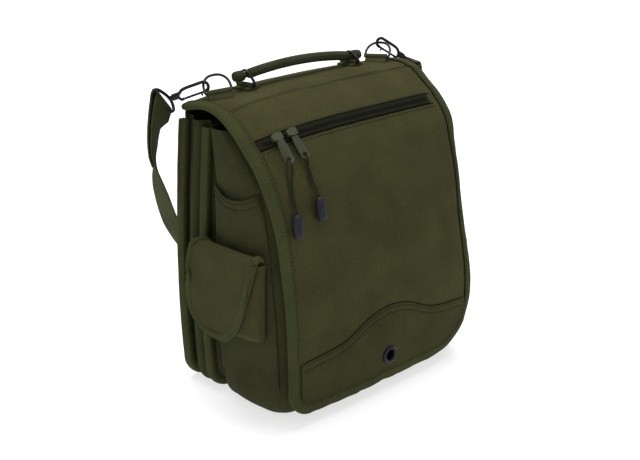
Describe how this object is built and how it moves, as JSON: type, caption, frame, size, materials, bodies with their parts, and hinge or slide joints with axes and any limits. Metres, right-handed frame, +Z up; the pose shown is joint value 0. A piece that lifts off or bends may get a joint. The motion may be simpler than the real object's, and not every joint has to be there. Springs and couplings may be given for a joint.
{
  "type": "field bag",
  "caption": "Canvas field bag with two compartments, a wide front flap with a zip, a side pouch, a carrying handle and a clip-on shoulder strap.",
  "frame": {"origin": "on the floor, under the middle of the body's width, a little behind the middle of its depth", "axes": "+Z up, the front with the flap faces -Y, the pouch is on the -X side"},
  "size_m": [0.3615, 0.2266, 0.3496],
  "materials": {
    "canvas": "olive cotton canvas, matt",
    "binding": "olive woven edge tape, matt",
    "webbing": "olive woven webbing, matt",
    "tape": "dark olive zip tape and chain",
    "metal": "black painted steel wire, satin",
    "olive_metal": "olive painted zip slider and pull, satin",
    "rubber": "black moulded cord end, matt",
    "cord": "thin black braided cord"
  },
  "bodies": {
    "bag": {"rear_compartment": "canvas", "front_compartment": "canvas", "flap": "canvas", "flap_lower_panel": "canvas", "side_pocket_left": "canvas", "side_pocket_right": "canvas", "pouch_body": "canvas", "pouch_flap": "canvas", "rear_edge_binding": "binding", "middle_edge_binding": "binding", "flap_binding": "binding", "handle_grip": "binding", "handle_tab_left": "webbing", "handle_tab_right": "webbing", "strap_ring_tab_left": "webbing", "strap_ring_tab_right": "webbing", "shoulder_strap": "webbing", "zip_tape": "tape", "zip_chain": "tape", "flap_eyelet": "metal", "handle_ring_left": "metal", "handle_ring_right": "metal", "strap_ring_left": "metal", "strap_ring_right": "metal", "snap_hook_left": "metal", "snap_hook_right": "metal", "hook_swivel_left": "metal", "hook_swivel_right": "metal", "zip_slider_left": "olive_metal", "zip_slider_right": "olive_metal", "pull_tab_left": "olive_metal", "pull_tab_right": "olive_metal", "cord_end_left": "rubber", "cord_end_right": "rubber", "pull_cord_left": "cord", "pull_cord_right": "cord"},
    "gate_left": {"hook_gate_left": "metal"},
    "gate_right": {"hook_gate_right": "metal"}
  },
  "joints": [
    {"name": "gate_left_hinge", "type": "hinge", "parent": "bag", "child": "gate_left", "pos_m": [-0.13509, 0.07841, 0.32077], "axis": [-0.7306, -0.6817, 0.039], "range_deg": [0, 15], "stiffness_Nm_per_rad": 0.02, "springref_deg": -20.05},
    {"name": "gate_right_hinge", "type": "hinge", "parent": "bag", "child": "gate_right", "pos_m": [0.14374, 0.04995, 0.32728], "axis": [0.3096, 0.9477, -0.0779], "range_deg": [0, 15], "stiffness_Nm_per_rad": 0.02, "springref_deg": -20.05}
  ]
}
